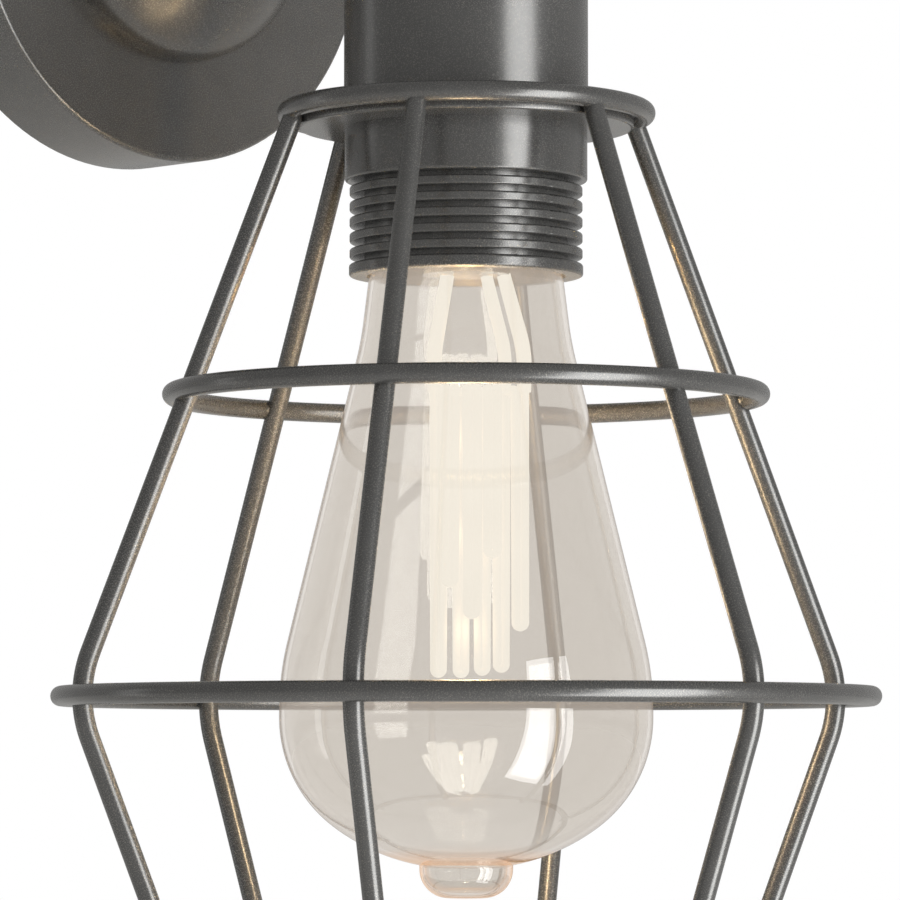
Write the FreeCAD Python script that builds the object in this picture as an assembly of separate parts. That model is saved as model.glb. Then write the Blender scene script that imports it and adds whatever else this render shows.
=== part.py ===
import FreeCAD, Part
import math
import os
from FreeCAD import Vector

# Cage wall light in millimetres. The origin is the centre of the canopy on the wall plane,
# +Y points into the wall, -Y into the room and +Z up. The lamp axis is vertical, in front of the wall.
# Heights named "level" count from the plane of the largest cage ring, up the lamp axis.

# Canopy and its bracket
canopy_radius = 48.0
canopy_depth = 17.4
canopy_sheet = 1.2
canopy_edge_radius = 1.0
strap_sheet = 2.0
strap_half_width = 6.5
strap_centre_radius = 16.0
strap_bend_radius = 1.5
ear_length = 14.0
cable_hole_radius = 6.0
slot_spacing = 60.0
slot_length = 12.0
slot_half_width = 2.5
side_screw_radius = 2.0
side_screw_depth = 9.0
side_screw_head_radius = 3.5
side_screw_head_height = 2.2
side_screw_length = 5.0
earth_screw_radius = 2.0
earth_screw_offset = 17.5
earth_screw_head_radius = 3.6
earth_screw_head_height = 2.2
washer_sheet = 1.0
washer_rim = 0.4

# Terminal block on the bracket's tab
block_width = 22.0
block_height = 12.0
block_depth = 10.0
block_top = -21.0
block_pole_spacing = 9.0
block_lead_depth = 3.0
block_edge_radius = 1.0
tab_margin = 1.0
block_screw_radius = 1.5
block_screw_head_radius = 2.8
block_screw_head_height = 1.8
pole_screw_radius = 1.6
pole_screw_recess = 1.0
screw_slot_width = 0.5
screw_slot_depth = 0.8

# Domed boss, arm and what clamps them
boss_radius = 29.5
boss_sphere_radius = 36.0
boss_wall_height = 4.0
boss_sheet = 1.5
boss_edge_radius = 8.0
arm_radius = 6.0
arm_bore_radius = 3.6
arm_bend_radius = 18.0
arm_drop = 21.0
arm_shoulder_radius = 8.5
arm_shoulder_height = 2.5
arm_thread_length = 8.4
nipple_radius = 5.0
arm_nut_flats = 17.0
arm_nut_height = 5.0
arm_washer_radius = 10.0
arm_washer_height = 1.5
nipple_nut_flats = 14.0
nipple_nut_height = 5.0
nipple_end = 0.6
face_to_lamp_axis = 77.4

# Wire cage
wire_radius = 1.75
leg_count = 6
leg_bend_radius = 21.0
top_ring_radius = 31.3
top_ring_level = 101.5
middle_ring_level = 52.3
large_ring_radius = 70.1
bottom_ring_level = -64.6
leg_bottom_radius = 44.5
leg_top_inset = 0.95
leg_top_gap = 0.9
ring_seat = 2.07
large_ring_seat = 2.67
leg_bottom_end = 1.0
disc_thickness = 2.0
disc_below_ring = 0.7
disc_weld = 0.15
disc_edge_radius = 0.5

# Lampholder: cup, collar and ribbed barrel
cup_radius = 21.3
cup_height = 26.2
cup_wall = 1.4
cup_corner_radius = 5.0
collar_radius = 21.15
collar_height = 9.2
collar_travel = 0.95
collar_edge_radius = 0.5
barrel_radius = 17.7
barrel_bore_radius = 16.3
barrel_drop = 25.8
barrel_web = 3.0
barrel_top_edge_radius = 2.5
rib_radius = 20.3
rib_thickness = 1.6
rib_edge_radius = 0.35
rib_pitch = 2.73
lip_radius = 20.4
lip_thickness = 2.1
lip_edge_radius = 0.5
mouth_radius = 17.4
mouth_depth = 4.0

# Lampholder insert
insert_top = 11.2
insert_bottom = -17.8
insert_ceiling = 6.4
insert_chamfer = 0.8
pillar_offset = 11.5
pillar_radius = 3.0
holder_screw_radius = 1.4
holder_screw_head_radius = 2.8
holder_screw_head_height = 1.6
holder_screw_length = 9.0
shell_wall = 0.4
shell_bottom = -17.2
shell_top = 3.2
contact_sheet = 0.5
contact_width = 5.0
contact_length = 9.0
rivet_radius = 1.4
rivet_head_radius = 2.3
rivet_head_height = 0.4
post_offset = 11.0
post_length = 6.0
post_width = 7.0
post_height = 5.0
post_screw_radius = 1.0
post_screw_head_radius = 2.1
post_screw_head_height = 1.0

# Leads through the arm
lead_radius = 1.0
lead_offset = 1.6
lead_bend_radius = 2.5

# Bulb, with heights from the tip of its contact
contact_above_disc = 5.4
bulb_length = 141.0
bulb_radius = 32.2
belly_rise = 32.5
belly_straight = 6.0
belly_blend_radius = 50.0
bulb_end_radius = 26.7
glass_wall = 0.9
neck_radius = 16.9
neck_drop = 33.2
neck_blend_radius = 8.0
flare_radius = 18.3
flare_drop = 44.5
flare_blend_radius = 60.0
nub_radius = 8.1
nub_edge_radius = 5.0
cap_radius = 13.2
cap_sheet = 0.35
cap_length = 25.2
cap_shoulder = 4.7
cap_overlap = 5.0
insulator_radius = 8.5
insulator_height = 1.6
tip_radius = 4.6
tip_height = 1.2
stem_flare_height = 0.8
stem_waist_radius = 4.0
stem_waist_drop = 27.0
stem_waist_length = 1.0
stem_head_radius = 7.6
stem_head_drop = 30.0
stem_end_drop = 33.0
stem_wire_radius = 0.4
stem_wire_offset = 2.0
stem_wire_end = 1.0

# Filament of one long strand folded into hairpins, seen from the room's left front. Each hairpin gives
# its place across and in depth as shares of the filament's half width, and its lowest point as a share
# of its height.
filament_turn = 44.4
filament_radius = 0.62
filament_half_width = 10.0
filament_height = 49.7
hairpin_gap = 1.4
hairpin_top = 53.0
lead_in_radius = 0.95
lead_in_top = 60.0
hairpins = (
    (-0.48, 0.0, 1.0),
    (-0.28, -0.4, 0.686),
    (-0.09, 0.3, 1.0),
    (0.1, -0.5, 0.797),
    (0.28, 0.24, 0.992),
    (0.45, -0.4, 0.583),
    (0.61, 0.16, 0.982),
    (0.94, 0.0, 0.837),
)
left_lead_in = (-0.33, 0.0)
right_lead_in = (0.66, 0.0)
support_top = (0.36, 0.16)
support_radius = 0.8
support_bend = 20.0

# Clearances
fit = 0.05
slide_fit = 0.15
assembly_gap = 0.1
hole_gap = 0.2

# Lengths below this count as nothing
shortest_run = 0.001

# Derived places
projection = canopy_depth + face_to_lamp_axis
disc_top = top_ring_level - disc_below_ring
disc_bottom = disc_top - disc_thickness
cup_top = disc_top + cup_height
ring_drop = arm_drop + cup_top
collar_bottom = disc_bottom - collar_height
barrel_bottom = disc_bottom - barrel_drop
barrel_top = cup_top - cup_wall
web_bottom = barrel_top - barrel_web
bulb_tip = disc_top + contact_above_disc
bulb_belly = bulb_length - belly_rise
insert_radius = barrel_bore_radius - assembly_gap
shell_bore_radius = cap_radius + slide_fit
shell_radius = shell_bore_radius + shell_wall
post_level = disc_top + insert_top + post_height / 2

os.makedirs("parts", exist_ok=True)
origin = Vector(0, 0, 0)
up = Vector(0, 0, 1)
right = Vector(1, 0, 0)
room = Vector(0, -1, 0)


def save(shape, name):
    shape.exportStep("parts/" + name + ".step")


def cylinder(radius, height, base=origin, direction=up):
    return Part.makeCylinder(radius, height, base, direction)


def hexagon(flats, height, base):
    corner = flats / 2 / math.cos(math.pi / 6)
    points = [base + Vector(corner * math.cos(i * math.pi / 3), corner * math.sin(i * math.pi / 3), 0)
              for i in range(7)]
    return Part.Face(Part.makePolygon(points)).extrude(up * height)


def revolve(edges):
    """Turns a closed outline of edges in the XZ plane about the Z axis."""
    outline = Part.Wire(Part.__sortEdges__(edges))
    return Part.Face(outline).revolve(origin, up, 360)


def arc(centre, radius, start, end):
    """An arc in the XZ plane between two angles."""
    points = [centre + Vector(math.cos(angle), 0, math.sin(angle)) * radius
              for angle in (start, (start + end) / 2, end)]
    return Part.Arc(*points).toShape()


def lines(points):
    """Straight edges through (radius, level) corners in the XZ plane."""
    corners = [Vector(r, 0, z) for r, z in points]
    return [Part.LineSegment(a, b).toShape() for a, b in zip(corners, corners[1:])]


def turned(points):
    """Turns an outline of (radius, level) corners about the Z axis."""
    return revolve(lines(points + points[:1]))


def circles_at(shape, radius, level):
    """The round edges of that radius at that level."""
    found = []
    for edge in shape.Edges:
        curve = edge.Curve
        if isinstance(curve, Part.Circle) and abs(curve.Radius - radius) < shortest_run:
            if abs(curve.Center.z - level) < shortest_run:
                found.append(edge)
    return found


def on_lamp(shape):
    """Moves a shape from the Z axis, with the largest ring at level 0, to the lamp axis."""
    moved = shape.copy()
    moved.translate(Vector(0, -projection, -ring_drop))
    return moved


def on_wall(shape):
    """Turns a shape whose +Z points into the room, with the wall at level 0, to its place."""
    moved = shape.copy()
    moved.rotate(origin, right, 90)
    return moved


def rounded_path(points, bends):
    """Straight runs joined by tangent arcs, one bend radius for each inner point."""
    runs = [b - a for a, b in zip(points, points[1:])]
    ways = [Vector(run).normalize() for run in runs]
    half_turns = [before.getAngle(after) / 2 for before, after in zip(ways, ways[1:])]
    reaches = [bend * math.tan(half) for bend, half in zip(bends, half_turns)]
    wanted = [a + b for a, b in zip([0] + reaches, reaches + [0])]
    shares = [run.Length / max(reach, run.Length) for run, reach in zip(runs, wanted)]
    edges = []
    start = points[0]
    for i, corner in enumerate(points[1:-1]):
        reach = reaches[i] * min(shares[i], shares[i + 1])
        arc_radius = reach / math.tan(half_turns[i])
        arc_start = corner - ways[i] * reach
        arc_end = corner + ways[i + 1] * reach
        inward = (ways[i + 1] - ways[i]).normalize()
        arc_middle = corner + inward * (arc_radius / math.cos(half_turns[i]) - arc_radius)
        if (arc_start - start).Length > shortest_run:
            edges.append(Part.LineSegment(start, arc_start).toShape())
        edges.append(Part.Arc(arc_start, arc_middle, arc_end).toShape())
        start = arc_end
    if (points[-1] - start).Length > shortest_run:
        edges.append(Part.LineSegment(start, points[-1]).toShape())
    return edges


def tube(points, radius, bends):
    """A round bar along straight runs joined by tangent arcs."""
    section = Part.Wire(Part.makeCircle(radius, points[0], points[1] - points[0]))
    return Part.Wire(rounded_path(points, bends)).makePipeShell([section], True, False)


# ---------------------------------------------------------------- canopy and bracket

def canopy():
    corner = Vector(canopy_radius - canopy_edge_radius, 0, canopy_depth - canopy_edge_radius)
    inner = canopy_radius - canopy_sheet
    hole = arm_radius + assembly_gap
    under = canopy_depth - canopy_sheet
    edges = lines([(corner.x, canopy_depth), (hole, canopy_depth), (hole, under), (inner, under), (inner, 0),
                   (canopy_radius, 0), (canopy_radius, corner.z)])
    cover = revolve(edges + [arc(corner, canopy_edge_radius, 0, math.pi / 2)])
    for way in (-1, 1):
        cover = cover.cut(cylinder(side_screw_radius + hole_gap, canopy_radius + canopy_sheet,
                                   up * side_screw_depth, right * way))
    return on_wall(cover)


def ear_face():
    """How far out the flat ears reach and still clear the round canopy."""
    return math.sqrt((canopy_radius - canopy_sheet - assembly_gap) ** 2 - strap_half_width ** 2)


def tab_bottom():
    return block_top - block_height - tab_margin


def wall_bracket():
    out = ear_face()
    strap = Part.makeBox(2 * out, 2 * strap_half_width, ear_length, Vector(-out, -strap_half_width, 0))
    hollow = Part.makeBox(2 * (out - strap_sheet), 2 * strap_half_width, ear_length,
                          Vector(strap_sheet - out, -strap_half_width, strap_sheet))
    bent = strap.cut(hollow)
    bends = [e for e in bent.Edges
             if abs(e.CenterOfMass.z) < shortest_run
             and abs(abs(e.CenterOfMass.x) - out) < shortest_run]
    bent = bent.makeFillet(strap_bend_radius, bends)
    plate = cylinder(strap_centre_radius, strap_sheet)
    tab = Part.makeBox(block_width, -tab_bottom(), strap_sheet, Vector(-block_width / 2, tab_bottom(), 0))
    bracket = bent.fuse([plate, tab]).removeSplitter()
    cuts = [cylinder(cable_hole_radius, strap_sheet),
            cylinder(earth_screw_radius + fit, strap_sheet, Vector(earth_screw_offset, 0, 0)),
            cylinder(block_screw_radius + fit, strap_sheet, Vector(0, block_top - block_height / 2, 0))]
    run = slot_length / 2 - slot_half_width
    for way in (-1, 1):
        middle = way * slot_spacing / 2
        slot = Part.makeBox(2 * run, 2 * slot_half_width, strap_sheet,
                            Vector(middle - run, -slot_half_width, 0))
        for end in (-run, run):
            slot = slot.fuse(cylinder(slot_half_width, strap_sheet, Vector(middle + end, 0, 0)))
        cuts.append(slot.removeSplitter())
        cuts.append(cylinder(side_screw_radius + fit, canopy_radius, up * side_screw_depth, right * way))
    return on_wall(bracket.cut(cuts))


def canopy_screws():
    screws = []
    for way in (-1, 1):
        heading = right * way
        seat = Vector(way * canopy_radius, 0, side_screw_depth)
        head = cylinder(side_screw_head_radius, side_screw_head_height, seat, heading)
        shank = cylinder(side_screw_radius, side_screw_length, seat - heading * side_screw_length, heading)
        screws.append(head.fuse(shank).removeSplitter())
    return on_wall(Part.makeCompound(screws))


def earth_screw():
    washer_top = strap_sheet + washer_sheet
    place = Vector(earth_screw_offset, 0, 0)
    washer = cylinder(earth_screw_head_radius + washer_rim, washer_sheet, place + up * strap_sheet)
    head = cylinder(earth_screw_head_radius, earth_screw_head_height, place + up * washer_top)
    shank = cylinder(earth_screw_radius, washer_top - hole_gap, place + up * hole_gap)
    return on_wall(washer.fuse([head, shank]).removeSplitter())


def terminal_block():
    block = Part.makeBox(block_width, block_height, block_depth,
                         Vector(-block_width / 2, block_top - block_height, strap_sheet))
    outer = [e for e in block.Edges if abs(e.CenterOfMass.z - strap_sheet - block_depth) < shortest_run]
    block = block.makeFillet(block_edge_radius, outer)
    front = strap_sheet + block_depth
    cuts = []
    for way in (-1, 1):
        pole = way * block_pole_spacing / 2
        bore_top = Vector(pole, block_top, strap_sheet + block_depth / 2)
        cuts.append(cylinder(lead_radius + assembly_gap, block_height, bore_top, Vector(0, -1, 0)))
        cuts.append(cylinder(pole_screw_radius + assembly_gap, block_depth / 2,
                             Vector(pole, block_top - block_height / 2, strap_sheet + block_depth / 2)))
    middle = Vector(0, block_top - block_height / 2, strap_sheet)
    cuts.append(cylinder(block_screw_radius + assembly_gap, block_depth, middle))
    recess = Vector(middle.x, middle.y, front - block_screw_head_height)
    cuts.append(cylinder(block_screw_head_radius + assembly_gap, block_screw_head_height, recess))
    return on_wall(block.cut(cuts))


def terminal_screws():
    screws = []
    for way in (-1, 1):
        seat = Vector(way * block_pole_spacing / 2, block_top - block_height / 2,
                      strap_sheet + block_depth / 2 + assembly_gap)
        screw_length = block_depth / 2 - pole_screw_recess
        screw = cylinder(pole_screw_radius, screw_length, seat)
        slot = Part.makeBox(2 * pole_screw_radius, screw_slot_width, screw_slot_depth,
                            seat + Vector(-pole_screw_radius, -screw_slot_width / 2,
                                          screw_length - screw_slot_depth))
        screws.append(screw.cut(slot))
    return on_wall(Part.makeCompound(screws))


def block_screw():
    head_seat = strap_sheet + block_depth - block_screw_head_height
    place = Vector(0, block_top - block_height / 2, 0)
    shank = cylinder(block_screw_radius, head_seat - hole_gap, place + up * hole_gap)
    head = cylinder(block_screw_head_radius, block_screw_head_height, place + up * head_seat)
    return on_wall(head.fuse(shank).removeSplitter())


# ---------------------------------------------------------------- boss and arm

def boss_centre():
    """Height of the sphere's centre above the canopy's face."""
    return boss_wall_height - math.sqrt(boss_sphere_radius ** 2 - boss_radius ** 2)


def boss_seat():
    """Height of the flat under the arm's shoulder."""
    return boss_centre() + math.sqrt(boss_sphere_radius ** 2 - arm_shoulder_radius ** 2)


def boss_solid(inset):
    """A short wall blended into a spherical cap, both set in by the same amount."""
    radius = boss_radius - inset
    sphere = boss_sphere_radius - inset
    edge = boss_edge_radius - inset
    top = boss_seat() - inset
    centre = Vector(0, 0, boss_centre())
    edge_rise = math.sqrt((sphere - edge) ** 2 - (radius - edge) ** 2)
    edge_centre = centre + Vector(radius - edge, 0, edge_rise)
    blend_angle = math.atan2(edge_rise, radius - edge)
    top_angle = math.asin((top - centre.z) / sphere)
    flat = sphere * math.cos(top_angle)
    return revolve([arc(edge_centre, edge, 0, blend_angle), arc(centre, sphere, blend_angle, top_angle)]
                   + lines([(flat, top), (0, top), (0, 0), (radius, 0), (radius, edge_centre.z)]))


def arm_boss():
    shell = boss_solid(0).cut(boss_solid(boss_sheet))
    shell = shell.cut(cylinder(arm_radius + assembly_gap, boss_sphere_radius))
    shell.translate(up * canopy_depth)
    return on_wall(shell)


def arm_end():
    """Depth of the arm's end inside the canopy."""
    return canopy_depth - arm_thread_length


def arm():
    corner = Vector(0, -projection, 0)
    outside = tube([Vector(0, -arm_end(), 0), corner, corner - up * arm_drop], arm_radius, [arm_bend_radius])
    nipple_length = arm_drop + cup_wall + barrel_web + nipple_nut_height + nipple_end
    nipple = cylinder(nipple_radius, nipple_length - arm_drop + 1, corner - up * nipple_length)
    shoulder = cylinder(arm_shoulder_radius, arm_shoulder_height,
                        room * (canopy_depth + boss_seat()), room)
    bore = tube([Vector(0, 1 - arm_end(), 0), corner, corner - up * (nipple_length + 1)],
                arm_bore_radius, [arm_bend_radius])
    return outside.fuse([nipple, shoulder]).removeSplitter().cut(bore)


def arm_washer():
    base = up * (canopy_depth - canopy_sheet - arm_washer_height)
    washer = cylinder(arm_washer_radius, arm_washer_height, base)
    return on_wall(washer.cut(cylinder(arm_radius + assembly_gap, arm_washer_height, base)))


def arm_nut():
    base = up * (canopy_depth - canopy_sheet - arm_washer_height - arm_nut_height)
    nut = hexagon(arm_nut_flats, arm_nut_height, base)
    return on_wall(nut.cut(cylinder(arm_radius + fit, arm_nut_height, base)))


def lead(way):
    """One lead from the terminal block through the arm to its post on the insert."""
    pole = way * block_pole_spacing / 2
    inside = way * lead_offset
    lead_depth = -(strap_sheet + block_depth / 2)
    turn_depth = -(strap_sheet + arm_end()) / 2
    post_height_row = post_level - ring_drop
    points = [Vector(pole, lead_depth, block_top - block_lead_depth),
              Vector(pole, lead_depth, block_top + 3 * lead_bend_radius / 2),
              Vector(inside, turn_depth, 0),
              Vector(inside, -projection, 0),
              Vector(inside, -projection, post_height_row),
              Vector(way * (post_offset + post_length / 4), -projection, post_height_row)]
    return tube(points, lead_radius, [lead_bend_radius, lead_bend_radius, arm_bend_radius, lead_bend_radius])


# ---------------------------------------------------------------- wire cage

def upper_slope():
    """How much the leg moves out for each millimetre it comes down."""
    return (leg_corner_radius() - leg_top_radius()) / top_ring_level


def leg_top_radius():
    return top_ring_radius - leg_top_inset


def leg_corner_radius():
    """Radius where the two straight runs of a leg would meet, outside its bend."""
    apex = large_ring_radius - large_ring_seat
    lean = math.atan2(apex - leg_top_radius(), top_ring_level)
    return apex + leg_bend_radius * (1 / math.cos(lean) - 1)


def leg_radius(level):
    """Radius of a leg's centre line on its straight runs."""
    if level > 0:
        return leg_corner_radius() - upper_slope() * level
    lower_slope = (leg_corner_radius() - leg_bottom_radius) / -bottom_ring_level
    return leg_corner_radius() + lower_slope * level


def disc_radius():
    """The disc bites a little into the legs that carry it."""
    middle = disc_top - disc_thickness / 2
    lean = math.atan(upper_slope())
    return leg_radius(middle) - wire_radius / math.cos(lean) + disc_weld


def cage_leg(number):
    top = top_ring_level - leg_top_gap
    bottom = bottom_ring_level - leg_bottom_end
    points = [Vector(0, -leg_radius(top), top), Vector(0, -leg_corner_radius(), 0),
              Vector(0, -leg_radius(bottom), bottom)]
    leg = tube(points, wire_radius, [leg_bend_radius])
    leg.rotate(origin, up, number * 360 / leg_count)
    return on_lamp(leg)


def ring(radius, level):
    return on_lamp(Part.makeTorus(radius, wire_radius, up * level))


def cage_disc():
    disc = rounded_disc(disc_radius(), disc_thickness, disc_bottom, disc_edge_radius)
    return on_lamp(disc.cut(cylinder(barrel_radius + assembly_gap, disc_thickness, up * disc_bottom)))


# ---------------------------------------------------------------- lampholder

def holder_cup():
    outside = cylinder(cup_radius, cup_height, up * disc_top)
    outside = outside.makeFillet(cup_corner_radius, circles_at(outside, cup_radius, cup_top))
    inside = cylinder(cup_radius - cup_wall, cup_height - cup_wall, up * disc_top)
    inside = inside.makeFillet(cup_corner_radius - cup_wall,
                               circles_at(inside, cup_radius - cup_wall, barrel_top))
    hole = cylinder(nipple_radius + assembly_gap, cup_height, up * disc_top)
    return on_lamp(outside.cut([inside, hole]))


def clamp_collar():
    collar = cylinder(collar_radius, collar_height, up * collar_bottom)
    rims = circles_at(collar, collar_radius, collar_bottom)
    collar = collar.makeFillet(collar_edge_radius, rims)
    return on_lamp(collar.cut(cylinder(barrel_radius + fit, collar_height, up * collar_bottom)))


def rib_levels():
    """Middle of each rib, from the collar down to the lip."""
    first = collar_bottom - collar_travel - rib_thickness / 2
    lowest = barrel_bottom + lip_thickness + rib_thickness
    count = int((first - lowest) / rib_pitch) + 1
    return [first - i * rib_pitch for i in range(count)]


def rounded_disc(radius, thickness, bottom, edge):
    disc = cylinder(radius, thickness, up * bottom)
    rims = circles_at(disc, radius, bottom) + circles_at(disc, radius, bottom + thickness)
    return disc.makeFillet(edge, rims)


def holder_barrel():
    core = cylinder(barrel_radius, barrel_top - barrel_bottom, up * barrel_bottom)
    core = core.makeFillet(barrel_top_edge_radius, circles_at(core, barrel_radius, barrel_top))
    ribs = [rounded_disc(rib_radius, rib_thickness, level - rib_thickness / 2, rib_edge_radius)
            for level in rib_levels()]
    lip = rounded_disc(lip_radius, lip_thickness, barrel_bottom, lip_edge_radius)
    barrel = core.fuse(ribs + [lip]).removeSplitter()
    bore = cylinder(barrel_bore_radius, web_bottom - barrel_bottom, up * barrel_bottom)
    mouth = Part.makeCone(mouth_radius, barrel_bore_radius, mouth_depth, up * barrel_bottom)
    cuts = [bore, mouth, cylinder(nipple_radius + assembly_gap, barrel_web, up * web_bottom)]
    for way in (-1, 1):
        place = Vector(0, way * pillar_offset, 0)
        cuts.append(cylinder(holder_screw_radius + hole_gap, barrel_web, place + up * web_bottom))
        sink = Part.makeCone(holder_screw_radius + hole_gap, holder_screw_head_radius + hole_gap,
                             holder_screw_head_height,
                             place + up * (barrel_top - holder_screw_head_height))
        cuts.append(sink)
    return on_lamp(barrel.cut(cuts))


def holder_screws():
    screws = []
    for way in (-1, 1):
        place = Vector(0, way * pillar_offset, 0)
        head = Part.makeCone(holder_screw_radius, holder_screw_head_radius, holder_screw_head_height,
                             place + up * (barrel_top - holder_screw_head_height))
        shank = cylinder(holder_screw_radius, holder_screw_length,
                         place + up * (barrel_top - holder_screw_head_height - holder_screw_length))
        screws.append(head.fuse(shank).removeSplitter())
    return on_lamp(Part.makeCompound(screws))


def nipple_nut():
    base = up * (web_bottom - nipple_nut_height)
    nut = hexagon(nipple_nut_flats, nipple_nut_height, base)
    return on_lamp(nut.cut(cylinder(nipple_radius + fit, nipple_nut_height, base)))


def lamp_insert():
    bottom = disc_top + insert_bottom
    top = disc_top + insert_top
    body = cylinder(insert_radius, top - bottom, up * bottom)
    pillars = [cylinder(pillar_radius, web_bottom - top, Vector(0, way * pillar_offset, top))
               for way in (-1, 1)]
    insert = body.fuse(pillars)
    bore_radius = shell_radius + fit
    cuts = [cylinder(bore_radius, disc_top + insert_ceiling - bottom, up * bottom),
            Part.makeCone(bore_radius + insert_chamfer, bore_radius, insert_chamfer, up * bottom),
            cylinder(rivet_radius + fit, top - bottom, up * bottom)]
    for way in (-1, 1):
        hole_bottom = barrel_top - holder_screw_head_height - holder_screw_length - hole_gap
        cuts.append(cylinder(holder_screw_radius + fit, web_bottom - hole_bottom,
                             Vector(0, way * pillar_offset, hole_bottom)))
    return on_lamp(insert.cut(cuts))


def screw_shell():
    bottom = disc_top + shell_bottom
    height = shell_top - shell_bottom
    outside = cylinder(shell_radius, height, up * bottom)
    return on_lamp(outside.cut(cylinder(shell_bore_radius, height, up * bottom)))


def centre_contact():
    low = bulb_tip + assembly_gap
    ceiling = disc_top + insert_ceiling
    tongue = Part.makeBox(contact_length, contact_width, contact_sheet,
                          Vector(-contact_length / 2, -contact_width / 2, low))
    foot = cylinder(rivet_head_radius, ceiling - low - contact_sheet, up * (low + contact_sheet))
    pin = cylinder(rivet_radius, disc_top + insert_top - ceiling, up * ceiling)
    head = cylinder(rivet_head_radius, rivet_head_height, up * (disc_top + insert_top))
    return on_lamp(tongue.fuse([foot, pin, head]).removeSplitter())


def insert_terminals():
    base = disc_top + insert_top
    pieces = []
    for way in (-1, 1):
        middle = way * post_offset
        post = Part.makeBox(post_length, post_width, post_height,
                            Vector(middle - post_length / 2, -post_width / 2, base))
        lead_hole = cylinder(lead_radius + assembly_gap, post_length,
                             Vector(middle - post_length / 2, 0, post_level), right)
        post_top = base + post_height
        clear = post_level + lead_radius + assembly_gap + hole_gap
        screw_hole = cylinder(post_screw_radius, post_top - clear, Vector(middle, 0, clear))
        head = cylinder(post_screw_head_radius, post_screw_head_height, Vector(middle, 0, post_top))
        pieces += [post.cut([lead_hole, screw_hole]), head.fuse(screw_hole).removeSplitter()]
    return on_lamp(Part.makeCompound(pieces))


# ---------------------------------------------------------------- bulb

def on_bulb(shape):
    """Moves a shape from the bulb's own frame, with its contact tip at level 0, into the lamp."""
    moved = shape.copy()
    moved.translate(up * bulb_tip)
    return on_lamp(moved)


def envelope(inset):
    """The bulb's outline, set in by the glass's thickness for the inside."""
    neck_end = cap_radius - cap_sheet - fit - inset
    top = cap_overlap - cap_length
    belly = Vector(bulb_radius - inset, 0, -bulb_belly)
    side = rounded_path([Vector(neck_end, 0, -cap_length),
                         Vector(neck_radius - inset, 0, -neck_drop),
                         Vector(flare_radius - inset, 0, -flare_drop),
                         belly + up * belly_straight,
                         belly], [neck_blend_radius, flare_blend_radius, belly_blend_radius])
    end_radius = bulb_end_radius - inset
    end_centre = Vector(bulb_radius - bulb_end_radius, 0, -bulb_belly)
    nub = nub_radius - inset
    nub_angle = -math.acos((nub - end_centre.x) / end_radius)
    nub_level = end_centre.z + end_radius * math.sin(nub_angle)
    nub_low = inset - bulb_length
    edge = nub_edge_radius - inset
    edge_centre = Vector(nub - edge, 0, nub_low + edge)
    return side + [arc(end_centre, end_radius, nub_angle, 0), arc(edge_centre, edge, -math.pi / 2, 0)] + (
        lines([(nub, nub_level), (nub, edge_centre.z)])
        + lines([(edge_centre.x, nub_low), (0, nub_low), (0, top), (neck_end, top),
                 (neck_end, -cap_length)]))


def bulb_glass():
    return on_bulb(revolve(envelope(0)).cut(revolve(envelope(glass_wall))))


def bulb_cap():
    shoulder_top = -tip_height - insulator_height
    outside = turned([(0, -cap_length), (cap_radius, -cap_length), (cap_radius, -cap_shoulder),
                      (insulator_radius, shoulder_top), (0, shoulder_top)])
    inside = turned([(0, -cap_length), (cap_radius - cap_sheet, -cap_length),
                     (cap_radius - cap_sheet, -cap_shoulder - cap_sheet),
                     (insulator_radius - cap_sheet, shoulder_top - cap_sheet),
                     (insulator_radius - cap_sheet, -tip_height), (0, -tip_height)])
    return on_bulb(outside.cut(inside))


def cap_insulator():
    low = -tip_height - insulator_height - cap_sheet
    seat = insulator_radius - cap_sheet
    return on_bulb(turned([(0, low), (seat, low), (seat, -tip_height - insulator_height),
                           (tip_radius, -tip_height), (0, -tip_height)]))


def cap_contact():
    dome = turned([(0, -tip_height), (tip_radius, -tip_height), (tip_radius, -tip_height / 2),
                   (tip_radius / 2, 0), (0, 0)])
    return on_bulb(dome)


def stem_wires():
    top = -tip_height - insulator_height - cap_sheet
    bottom = stem_wire_end - stem_end_drop
    wires = [cylinder(stem_wire_radius, top - bottom, Vector(way * stem_wire_offset, 0, bottom))
             for way in (-1, 1)]
    return Part.makeCompound(wires)


def glass_stem():
    flare = cap_radius - cap_sheet - fit - glass_wall - fit
    flare_top = cap_overlap - cap_length
    stem = turned([(0, flare_top), (flare, flare_top), (flare, flare_top - stem_flare_height),
                   (stem_waist_radius, stem_waist_length - stem_waist_drop),
                   (stem_waist_radius, -stem_waist_drop),
                   (stem_head_radius, -stem_head_drop), (stem_head_radius, -stem_end_drop),
                   (0, -stem_end_drop)])
    return on_bulb(stem.cut(stem_wires()))


def in_filament(place, level):
    """A point of the filament from its shares of the half width, across and in depth."""
    across, depth = place
    return Vector(across * filament_half_width, depth * filament_half_width, level)


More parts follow.
